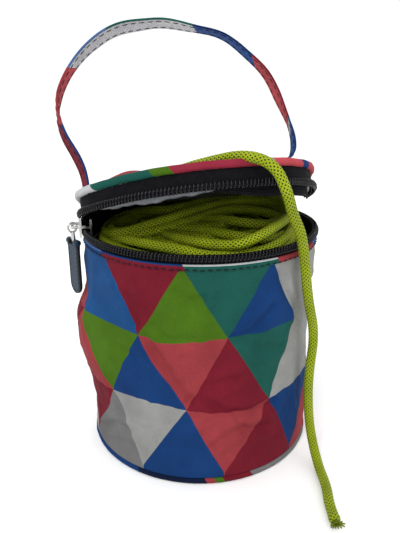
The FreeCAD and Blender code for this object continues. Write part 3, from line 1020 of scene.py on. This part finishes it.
def print_uv(a, r, z, s):
    """Where the wall's print lies: levels of the triangle corners follow the cut cloth."""
    a = np.clip(a, 90.001, 449.999)      # each end of the cloth stays on its own side of the seam
    levels = [0.0049, 0.0382, 0.0696, 0.0997]
    v = np.interp(z, levels, [0, ROW, 2 * ROW, 3 * ROW])
    v = np.maximum(v, 0.0002)
    drift = np.interp(z, levels, [-0.0005, 0.0019, 0.0, 0.0003])
    u = np.radians(off_by(a, 270)) * WALL_R - drift
    for az, height, half_u, half_z, shift_u, shift_v in PULLS:
        du = np.radians(off_by(a, az)) * WALL_R / half_u
        near = np.exp(-du ** 2 - ((z - height) / half_z) ** 2)
        u = u + shift_u * near
        v = v + shift_v * near
    return u, v


def sagged(a, r, z):
    return a, r + wall_sag(a, z), z


def wall_layer(name, r_out, r_in, z_low, z_high, step=0.75, rise=0.0011, uv=None):
    """One layer of the wall, following its dents."""
    section = rounded_section(r_in, r_out, z_low, z_high, 0.45 * (r_out - r_in), 2, rise)
    return ring_object(name, section, 90, 450, step, sagged, uv=uv)


def build_wall():
    """The wall's printed cloth, padding and lining, and the tape over its back seam."""
    foam_in = TAPE_R - FOAM_T
    lining_in = foam_in - LINING_T
    dress(wall_layer("wall_panel_cloth", WALL_R, TAPE_R, FOOT_Z, WALL_TOP, uv=print_uv),
          "print", "bag", ["wall_panel"])
    padding = wall_layer("wall_padding_foam", TAPE_R - 0.0009, foam_in + 0.00005, FOOT_Z,
                         PAD_TOP, 2.0, 0.003)
    dress(padding, "foam", "bag", ["wall_padding"])
    dress(wall_layer("wall_lining_film", foam_in, lining_in, FOOT_Z, PAD_TOP, 2.0, 0.003),
          "silver", "bag", ["wall_lining"])

    seam = rounded_section(lining_in - 0.0004, lining_in - 0.00002, FOOT_Z, PAD_TOP, 0.00015, 2,
                           0.003)
    dress(ring_object("seam_binding_tape", seam, 86, 94, 1.0, sagged), "binding",
          "bag", ["seam_binding"])


# The hem's colours from where each starts, in millimetres round; HEM_EDGE is its top edge.
HEM_STOPS = mm_stops(
    (0, TEAL), (33, CORAL), (62, BLUE), (92, TEAL), (118, CRIMSON), (150, PALE), (176, GREEN),
    (204, CORAL), (236, BLUE), (288, CRIMSON), (327, TEAL))
HEM_EDGE = mm_stops(
    (0, WHITE), (33, CORAL), (62, SKY), (92, PALE), (118, BLUE), (150, CORAL), (176, TEAL),
    (204, WHITE), (236, SKY), (288, BLUE), (327, WHITE))


def build_hem():
    """The turned hem at the top of the wall, a little puckered by its stitches."""
    def puckered(a, r, z):
        pull = 0.0001 * np.sin(math.pi * np.radians(a) * WALL_R / 0.0031)
        pull = pull * smooth((HEM_TOP - z) / 0.003) + 0.00008 * ring_noise(a, z, 8, 9.0, 2.0)
        return a, r + pull, z

    material = banded_cloth("hem_cloth", HEM_STOPS, ROUND, 0.5, HEM_EDGE, 0.0024)
    section = rounded_section(TAPE_R, HEM_R - 0.0002, WALL_TOP - 0.0003, HEM_TOP - 0.0004,
                              0.0005, 4, 0.0006)
    hem = ring_object("rim_hem_cloth", section, 90, 450, 0.75, puckered)
    dress(hem, material, "bag", ["rim_hem"])


HEM_STITCHES = 112


def build_hem_stitches():
    """Dark dashes below the hem, each bowed out a little, with uneven gaps."""
    pitch = 360 / HEM_STITCHES
    dashes = []
    for k in range(HEM_STITCHES):
        start = k * pitch + RNG.uniform(-0.15, 0.15)
        line = []
        for share in np.linspace(0, 1, 6):
            bow = 0.00018 * math.sin(math.pi * share)
            azimuth = start + share * 0.66 * pitch
            line.append(polar(HEM_R - 0.00012 + bow, azimuth,
                              WALL_TOP + 0.0003 + 0.0001 * math.sin(k * 1.7)))
        dashes.append(line)
    dress(many_tubes("hem_stitches", dashes, 0.00026), "thread", "bag",
          ["hem_stitching"])


def build_rim_binding():
    """Black tape over the raw edges inside the rim."""
    def wavy(a, r, z):
        return a, r + 0.00015 * np.sin(np.radians(a) * 23), z
    binding = rounded_section(TAPE_R - TAPE_T - 0.0005, TAPE_R - TAPE_T - 0.00004,
                              PAD_TOP + 0.0002, HEM_TOP, 0.0002, 3, 0.0015)
    dress(ring_object("rim_binding_tape", binding, 0, 360, 1.5, wavy), "binding",
          "bag", ["rim_binding"])


WELT_STOPS = mm_stops(
    (0, NAVY), (4, CORAL), (8, GREEN), (12, CRIMSON), (25, GREY), (72, CORAL), (96, GREEN),
    (128, BLUE), (168, TEAL), (206, CORAL), (238, PALE), (262, BLUE), (306, NAVY))


def build_base():
    """The base's printed panel and the piping round it."""
    def lumpy(a, r, z):
        shift = 0.00025 * ring_noise(a, z, 20, 11.0, 4.0) * smooth((z - 0.0004) / 0.001)
        return a, r + shift, z
    material = banded_cloth("base_welt_cloth", WELT_STOPS, ROUND, 0.5)
    radius = BASE_WELT_TOP / 2
    welt = ring_object("base_welt_piping", round_section(BASE_R + radius, radius, radius),
                       90, 450, 1.0, lumpy)
    dress(welt, material, "bag", ["base_welt"])

    dress(disc_object("base_panel_cloth", BASE_R, 0.0, BASE_TOP, base_crown), "print",
          "bag", ["base_panel"])


def base_crown(r, a, top):
    """The base is pulled up a little inside its welt, with small gathers."""
    gathers = 0.5 + 0.5 * np.sin(np.radians(a) * 46)
    edge = smooth((r - 0.8 * BASE_R) / (0.2 * BASE_R))
    return np.where(top, 0.0, 0.00015 * edge * gathers)


# ---- the zip ----------------------------------------------------------------------------------
TOOTH = 0.0015
RIM_TAPE_AZ = (187, 408)
RIM_COIL_AZ = (188.3, 386)
HINGE_AZ = (48, 187)
LID_TAPE_AZ = (188, 374)
LID_COIL_AZ = (199.4, 372)


def coil_object(name, between, z_low, place=None):
    """One row of a nylon coil zip: a wire wound in flat loops, with a head on each loop."""
    az_start, az_end = between
    wire = 0.0003
    middle_r = (TAPE_R + COIL_R) / 2
    per_turn = 12
    turns = int(math.radians(az_end - az_start) * middle_r / TOOTH)
    phase = np.arange(turns * per_turn + 1) / per_turn
    turn = 2 * math.pi * phase
    azimuth = np.radians(az_start + (az_end - az_start) * phase / turns)
    squared = np.sign(np.sin(turn)) * np.abs(np.sin(turn)) ** 0.7
    radius = middle_r + ((COIL_R - TAPE_R) / 2 - wire) * np.cos(turn)
    z = z_low + COIL_H / 2 + (COIL_H / 2 - wire) * squared
    points = np.stack([radius * np.cos(azimuth), radius * np.sin(azimuth), z], axis=-1)
    if place is not None:
        points = place(points)
    heads = wire * (1 + 0.25 * np.abs(np.sin(turn)) ** 6)
    return tube_object(name, points, heads, sides=6)


def coil_seams(name, between, z_low, place=None):
    """The two rows of thread that sew a coil to its tape, one dash over each loop."""
    az_start, az_end = between
    lines = []
    step = math.degrees(TOOTH / COIL_R)
    for height in (0.3, 0.62):
        azimuth = az_start
        while azimuth + step < az_end:
            line = [polar(COIL_R - 0.00005 + 0.0001 * math.sin(math.pi * t),
                          azimuth + t * step * 0.8, z_low + COIL_H * height)
                    for t in (0, 0.33, 0.67, 1)]
            lines.append(line if place is None else place(np.array(line)))
            azimuth += step
    return many_tubes(name, lines, 0.00016, 5)


def tape_object(name, between, z_low, z_high, thick=TAPE_T, place=None, sway=0.0002,
                out=TAPE_R):
    def wavy(a, r, z):
        return a, r + sway * ring_noise(a, z, 6, 8.0, 5.0), z
    section = rounded_section(out - thick, out, z_low, z_high, 0.3 * thick, 2, 0.0012)
    return ring_object(name, section, *between, 1.0, wavy, place)


def build_zip():
    """The zip's two rows, and the band that joins wall and lid behind its ends."""
    tape_low = PAD_TOP + 0.0002
    dress(tape_object("rim_zip_tape_cloth", RIM_TAPE_AZ, tape_low, RIM_Z - 0.0005), "tape",
          "bag", ["rim_zip_tape"])
    coil = coil_object("rim_zip_coil_teeth", RIM_COIL_AZ, COIL_LOW)
    dress(coil, "nylon", "bag", ["rim_zip_coil"])
    dress(coil_seams("rim_coil_seams", RIM_COIL_AZ, COIL_LOW), "thread", "bag")

    band = tape_object("hinge_band_tape", HINGE_AZ, HEM_TOP - 0.001, BAND_TOP, 0.0012,
                       sway=0.0005, out=TAPE_R + 0.0004)
    dress(band, "band", "bag", ["hinge_band"])

    lid_tape = tape_object("lid_zip_tape_cloth", LID_TAPE_AZ, LID_COIL_LOW + 0.0003, BAND_TOP,
                           place=lid_placed, sway=0.0004)
    dress(lid_tape, "tape", None, ["lid_zip_tape"], ACROSS_FOLD)
    lid_coil = coil_object("lid_zip_coil_teeth", LID_COIL_AZ, LID_COIL_LOW, lid_placed)
    dress(lid_coil, "nylon", "lid", ["lid_zip_coil"])
    seams = coil_seams("lid_coil_seams", LID_COIL_AZ, LID_COIL_LOW, lid_placed)
    dress(seams, "thread", "lid")
    dress(inner_binding(), "band", "lid")


def inner_binding():
    """Black tape over the raw edges inside the lid. It sags towards the right of the gap."""
    top, shallow, deep = BAND_TOP - 0.001, LID_COIL_LOW + 0.0012, LID_COIL_LOW - 0.0034

    def sagging(a, r, z):
        sag = smooth((a - 262) / 40) * smooth((366 - a) / 24)
        low = shallow + (deep - shallow) * sag
        z_new = top - (top - z) * (top - low) / (top - deep)
        return a, r + 0.0005 * ring_noise(a, z, 6, 8.0, 5.0), z_new
    out = TAPE_R - 0.0024
    section = rounded_section(out - TAPE_T, out, deep, top, 0.3 * TAPE_T, 2, 0.0012)
    return ring_object("lid_inner_binding_tape", section, 200, 370, 1.0, sagging, lid_placed)


# ---- the lid ----------------------------------------------------------------------------------
LID_PANEL_LOW = LID_TOP - FABRIC_T
LID_FOAM_T = 0.0025
LID_FOAM_LOW = LID_PANEL_LOW - LID_FOAM_T
LID_CROWN = 0.0018       # how much higher the lid is in its middle
PUFF_HIGH = 0.0031       # the lid's front left is puffed up behind the welt
PUFF_AZ = 232
PUFF_R = 0.044
LID_CRIMSON = dyed(160, 50, 70)
LID_CORAL = dyed(204, 84, 92)
LID_WELT_STOPS = mm_stops(
    (0, LID_CRIMSON), (28, PALE), (33, LID_CORAL), (50, BLUE), (57, LID_CORAL), (86, TEAL),
    (120, BLUE), (150, CRIMSON), (180, GREEN), (206, PALE), (228, CORAL), (252, WHITE),
    (290, TEAL), (318, GREEN), (326, LID_CRIMSON))


def lid_crown(r, a, top):
    """Padding makes the lid a little higher in the middle, and the cloth is not quite even."""
    crown = LID_CROWN * (1 - (r / LID_R) ** 2)
    puff = PUFF_HIGH * np.exp(-((a - PUFF_AZ) / 13) ** 2 - ((r - PUFF_R) / 0.006) ** 2)
    return np.where(top, crown + puff + 0.0003 * disc_noise(r, a, 45.0, 6.0),
                    0.5 * crown + puff)


def build_lid_panel():
    panel = disc_object("lid_panel_cloth", LID_R, LID_PANEL_LOW, LID_TOP, lid_crown, 50, 180,
                        lid_placed)
    dress(panel, "print", None, ["lid_panel", "lid_rear_panel"], ACROSS_FOLD)


def build_lid_padding():
    padding = disc_object("lid_padding_foam", LID_R - 0.0003, LID_FOAM_LOW,
                          LID_PANEL_LOW - 0.0001, lambda r, a, top: 0.0 * r, 50, 90, lid_placed)
    dress(padding, "foam", None, ["lid_padding", "lid_rear_padding"], ACROSS_FOLD)


def build_lid_lining():
    """The silvery lining, slack between its edges, and its skirt behind the zip tape."""
    def slack(r, a, top):
        ripple = np.abs(disc_noise(r, a, 70.0, 2.5))
        return -0.0002 - 0.0004 * ripple * smooth((LID_R - r) / 0.01)
    lining = disc_object("lid_lining_film", LID_R - 0.0002, LID_FOAM_LOW - LINING_T,
                         LID_FOAM_LOW - 0.0001, slack, 50, 120, lid_placed)
    dress(lining, "silver", None, ["lid_lining", "lid_rear_lining"],
          ACROSS_FOLD)
    dress(lining_skirt(), "silver", "lid")


def build_lid_welt():
    """The lid's printed piping, a little lumpy over its cord."""
    def lumpy(a, r, z):
        return (a, r + 0.0003 * ring_noise(a, z, 20, 10.0, 8.0),
                z + 0.0002 * ring_noise(a, z, 20, 7.0, 1.0))
    material = banded_cloth("lid_welt_cloth", LID_WELT_STOPS, ROUND, 0.6)
    radius = (WELT_TOP - WELT_LOW) / 2
    welt = ring_object("lid_welt_piping",
                       round_section(TAPE_R + 0.0002, WELT_LOW + radius, radius), 90, 450,
                       1.0, lumpy, lid_placed)
    dress(welt, material, None, ["lid_welt", "lid_rear_welt"], ACROSS_FOLD)


def lining_skirt():
    """The lid's lining comes down behind the zip tape and shows below it as a loose roll."""
    start, end = 198.0, 366.0
    steps = 120
    top_z = LID_TOP - 0.0042
    out_r = TAPE_R - TAPE_T - 0.0001
    rows = []
    for azimuth in np.linspace(start, end, steps):
        share = (azimuth - start) / (end - start)
        ends = min(1.0, 8 * share, 8 * (1 - share))
        droop = 0.0026 * math.exp(-((azimuth - 250) / 28) ** 2)
        wobble = 0.0003 * math.sin(azimuth * 0.31) + 0.0002 * math.sin(azimuth * 0.83)
        low_z = LID_COIL_LOW + 0.0012 - (droop + wobble) * ends
        in_r = out_r - 0.0007 - 0.0018 * ends
        profile = [
            (out_r, top_z), (out_r, (top_z + low_z) / 2), (out_r, low_z + 0.001),
            (out_r - 0.0006, low_z), (in_r + 0.0004, low_z + 0.0001), (in_r, low_z + 0.001),
            (in_r, (top_z + low_z) / 2), (in_r - 0.001, top_z),
        ]
        rows.append([polar(r, azimuth, z) for r, z in profile])
    points = lid_placed(np.array(rows))
    along = np.radians(np.linspace(start, end, steps)) * WALL_R
    u, v = np.meshgrid(along, np.arange(len(profile) + 1) * 0.002, indexing="ij")
    return grid_object("lid_lining_skirt", points, np.stack([u, v], axis=-1), cap=True)


# ---- the handle -------------------------------------------------------------------------------
HANDLE = next(j for j in frame["joints"] if j["name"] == "handle_swing")
HANDLE_FOOT = Vector(HANDLE["pos_m"])
HANDLE_ALONG = -Vector(HANDLE["axis"]).normalized()
HANDLE_LEAN = math.radians(19)
HANDLE_UP = (Vector((0, 0, 1)) * math.cos(HANDLE_LEAN)
             + Vector((0, 0, 1)).cross(HANDLE_ALONG) * math.sin(HANDLE_LEAN))
HANDLE_NORMAL = HANDLE_ALONG.cross(HANDLE_UP)
HANDLE_POINTS = [
    (0.0000, -0.0060), (0.0000, 0.0003), (-0.0025, 0.0090), (-0.0085, 0.0210), (-0.0095, 0.0340),
    (-0.0030, 0.0480), (0.0080, 0.0605), (0.0230, 0.0700), (0.0410, 0.0725), (0.0610, 0.0712),
    (0.0800, 0.0655), (0.0935, 0.0530), (0.1025, 0.0385), (0.1065, 0.0240), (0.1092, 0.0130),
    (0.1080, 0.0050), (0.0985, 0.0003), (0.0965, -0.0060),
]
STRAP_PALE = dyed(232, 232, 236)
STRAP_CORAL = dyed(214, 92, 98)
STRAP_BLUE = dyed(62, 98, 168)
STRAP_STOPS = mm_stops(
    (0, CRIMSON), (33, STRAP_CORAL), (60, STRAP_PALE), (129, STRAP_BLUE), (164, STRAP_CORAL),
    (200, WHITE), (204, STRAP_BLUE))
STRAP_EDGE = mm_stops(
    (0, BLUE), (33, CORAL), (60, SKY), (86, TEAL), (129, ROYAL), (164, CRIMSON), (200, BLUE))
# How far the strap is turned about its own line, in degrees, at each length along it.
STRAP_TURN_AT = (0, 0.015, 0.03, 0.045, 0.06, 0.08, 0.10, 0.13, 0.148, 0.165, 0.185, 0.20,
                 0.217, 0.233)
STRAP_TURN = (4, 5, 1, -11, -9, -10, -2, 12, 16, 14, 12, 22, 14, 6)


STRAP_LINE = spline_points(
    "strap_line", [HANDLE_FOOT + HANDLE_ALONG * a + HANDLE_UP * u for a, u in HANDLE_POINTS], 16)
STRAP_RUN = run_along(STRAP_LINE)
# The strap's sewn ends, on the bag, lie between these two points.
STRAP_FEET = ("bag", "handle", HANDLE_FOOT - Vector((0, 0, 0.003)),
              HANDLE_FOOT + Vector((0, 0, 0.007)))


def strap_surface(across, lift):
    """The strap's surface at each point of its line, this far across it and off its middle."""
    wide = np.array(HANDLE_NORMAL)
    _, out, _ = frames_along(STRAP_LINE, wide)
    wave = 0.0004 * np.sin(STRAP_RUN * 210) * smooth((STRAP_RUN - 0.08) / 0.03)
    twist = np.radians(np.interp(STRAP_RUN, STRAP_TURN_AT, STRAP_TURN))
    tilt = across * np.sin(twist)
    return (STRAP_LINE + wide * (across * np.cos(twist))[:, None]
            + out * (lift + wave + tilt)[:, None])


def build_strap():
    half_w, half_t = STRAP_W / 2, STRAP_T / 2
    section = rounded_section(-half_w, half_w, -half_t, half_t, 0.8 * half_t, 4, 0.0012)
    points = np.stack([strap_surface(w, t) for w, t in section], axis=1)
    wide = [w for w, _ in section] + [section[0][0]]
    u, v = np.meshgrid(STRAP_RUN, wide, indexing="ij")
    strap = grid_object("handle_strap_webbing", points, np.stack([u, v], axis=-1), cap=True)
    material = banded_cloth("strap_cloth", STRAP_STOPS, float(STRAP_RUN[-1]) + 0.001, 0.55,
                            STRAP_EDGE, 0.0057)
    dress(strap, material, None, ["handle_strap", "handle_anchors"],
          STRAP_FEET)


def build_strap_stitches():
    """Two lines of stitching on each face of the strap."""
    pitch = 0.0042
    foot = 0.0075            # the stitching stops this far from each end
    last = STRAP_RUN[-1] - foot - pitch
    stitches = []
    for side in (-1, 1):
        for across in (-0.0037, 0.0037):
            path = strap_surface(across, side * (STRAP_T / 2 + 0.00004))
            stitches += dashes_along(path, STRAP_RUN, foot, last, pitch, 0.62 * pitch)
    dress(many_tubes("handle_stitches", stitches, 0.0003, 5), "thread", None,
          ["handle_stitching"], STRAP_FEET)


# ---- the pull ---------------------------------------------------------------------------------
PULL = next(j for j in frame["joints"] if j["name"] == "pull_swing")
PULL_PIVOT = np.array(PULL["pos_m"])
PULL_AZ = math.atan2(PULL_PIVOT[1], PULL_PIVOT[0]) + math.radians(25)
TAB_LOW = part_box("pull_tab")[0].z
TAB_R = 0.0048           # half the tab's width, and the radius of its lower end
TAB_HALF_T = 0.0008
BAR_Z = PULL_PIVOT[2] - 0.0073     # the link's low bar, which the tab is folded over
RING_R = 0.0021
RING_WIRE = 0.0005
RING_Z = PULL_PIVOT[2] - 0.0008


def on_pull(out, across, z):
    """A point by its place off the tab's middle plane, across it and up."""
    face = np.array((math.cos(PULL_AZ), math.sin(PULL_AZ), 0))
    side = np.array((-face[1], face[0], 0))
    return np.array((PULL_PIVOT[0], PULL_PIVOT[1], 0)) + face * out + side * across + (0, 0, z)


def build_tab():
    """The leather tab: a flat strip with a round end, and a sleeve each side of the stem."""
    rows = [(TAB_R * math.sin(t), TAB_LOW + TAB_R * (1 - math.cos(t)))
            for t in np.radians(np.linspace(6, 90, 14))]
    rows += [(TAB_R, z) for z in np.linspace(TAB_LOW + TAB_R, BAR_Z - 0.001, 16)[1:]]
    points = []
    uv = []
    for half_w, z in rows:
        swell = TAB_HALF_T * (1 + 0.5 * float(smooth((z - BAR_Z + 0.003) / 0.002)))
        corners = rounded_section(-half_w, half_w, -swell, swell, min(0.8 * swell, 0.9 * half_w))
        section = []
        for k, (p, q) in enumerate(zip(corners, corners[1:] + corners[:1])):
            parts = 10 if k in (9, 19) else 1    # the two broad faces
            section += split_side(p, q, parts)
        points.append([on_pull(t, w, z) for w, t in section])
        edge = [half_w - abs(w) for w, _ in section]
        uv.append([(e, z) for e in edge + edge[:1]])
    tab = grid_object("pull_tab_leather", np.array(points), np.array(uv), cap=True)
    sleeves = []
    for sign in (-1, 1):
        bar = [on_pull(0, sign * w, BAR_Z) for w in (0.0019, 0.0022, 0.0044, 0.0047)]
        sleeves.append(tube_object("sleeve", bar, [0.0013, 0.0015, 0.0015, 0.0013], 20))
    dress(joined("pull_tab_leather", [tab] + sleeves), "leather", "zip_pull",
          ["pull_tab"])


def build_tab_stitches():
    """One line of stitching round the tab's outer face."""
    inset = TAB_R - 0.0012
    top, bend = BAR_Z - 0.0028, TAB_LOW + TAB_R
    turn = np.linspace(0, math.pi, 40)[1:-1]
    outline = [(-inset, z) for z in np.linspace(top, bend, 30)]
    outline += [(-inset * math.cos(t), bend - inset * math.sin(t)) for t in turn]
    outline += [(inset, z) for z in np.linspace(bend, top, 30)]
    outline += [(w, top) for w in np.linspace(inset, -inset, 12)[1:]]
    outline = np.array([on_pull(TAB_HALF_T + 0.00003, w, z) for w, z in outline])
    run = run_along(outline)
    dashes = dashes_along(outline, run, 0.0003, run[-1] - 0.0016, 0.002, 0.0014)
    dress(many_tubes("pull_tab_stitches", dashes, 0.00016), "thread", "zip_pull",
          ["pull_tab_stitch"])


def build_link():
    """The metal link: a ring round the bail, a stem, and the bar that holds the tab."""
    loop = []
    for turn in np.linspace(0, 2 * math.pi, 32, endpoint=False):
        row = []
        for t in np.linspace(0, 2 * math.pi, 12, endpoint=False):
            reach = RING_R + RING_WIRE * math.cos(t)
            row.append(on_pull(reach * math.cos(turn), RING_WIRE * math.sin(t),
                               RING_Z + reach * math.sin(turn)))
        loop.append(row)
    ring = plain_grid("ring", np.array(loop), round_u=True)
    ring_low = RING_Z - RING_R
    stem = []
    for z, w in ((ring_low + 0.0003, 0.0011), (ring_low - 0.0006, 0.0014),
                 (BAR_Z + 0.0012, 0.0015), (BAR_Z, 0.0013)):
        stem.append([on_pull(t, a, z) for a, t in rounded_section(-w, w, -0.0006, 0.0006, 0.0004)])
    stem = plain_grid("stem", np.array(stem), cap=True)
    bar = tube_object("bar", [on_pull(0, w, BAR_Z) for w in (-0.0042, 0, 0.0042)], 0.0006, 10)
    dress(joined("pull_link_metal", [ring, stem, bar]), "metal", "zip_pull",
          ["pull_link"])


# ---- stage ------------------------------------------------------------------------------------
STUDIO_LIGHT = 1.06
# Soft lights: name, place, width and power in watts.
AREA_LIGHTS = (
    ("key", (-0.35, -0.9, 1.05), 0.5, 8),
    ("fill", (0.9, -0.5, 0.6), 0.6, 1),
    ("top", (0.0, 0.3, 1.3), 0.8, 1.5),
)


def build_floor():
    bpy.ops.mesh.primitive_circle_add(vertices=96, radius=6.0, fill_type="NGON")
    floor = bpy.context.object
    floor.name = "floor"
    paint = Paint("floor_paper", roughness=0.9)
    tone = paint.ramp(paint.solid_noise(3.0), [(0.3, (0.95, 0.95, 0.95, 1)),
                                               (0.7, (0.97, 0.97, 0.97, 1))])
    floor.data.materials.append(paint.finish(tone))


def light_studio():
    bpy.context.scene.view_settings.view_transform = "Standard"
    world = bpy.data.worlds.new("studio")
    bpy.context.scene.world = world
    world.use_nodes = True
    background = world.node_tree.nodes["Background"]
    background.inputs[0].default_value = (1.0, 1.0, 1.0, 1.0)
    background.inputs[1].default_value = STUDIO_LIGHT
    for name, place, width, power in AREA_LIGHTS:
        data = bpy.data.lights.new(name, "AREA")
        data.size = width
        data.energy = power
        light = bpy.data.objects.new(name, data)
        light.location = place
        aim = Vector((0, 0, 0.08)) - Vector(place)
        light.rotation_euler = aim.to_track_quat("-Z", "Y").to_euler()
        bpy.context.scene.collection.objects.link(light)


build_wall()
build_hem()
build_hem_stitches()
build_rim_binding()
build_base()
build_zip()
build_lid_panel()
build_lid_padding()
build_lid_lining()
build_lid_welt()
build_strap()
build_strap_stitches()
build_tab()
build_tab_stitches()
build_link()
build_floor()
light_studio()

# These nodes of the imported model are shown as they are, with a material each.
KEPT = {
    "base_board": ("board", "board"),
    "base_lining": ("silver", "silver_lining"),
    "zip_stops": ("nylon", "zip_coil"),
    "slider_body": ("metal", "zip_metal"),
    "slider_bail": ("metal", "zip_metal"),
}
for node, (material, slot) in KEPT.items():
    piece = frame["nodes"][node]
    piece.data.materials.clear()
    piece.data.materials.append(MATERIALS[material])
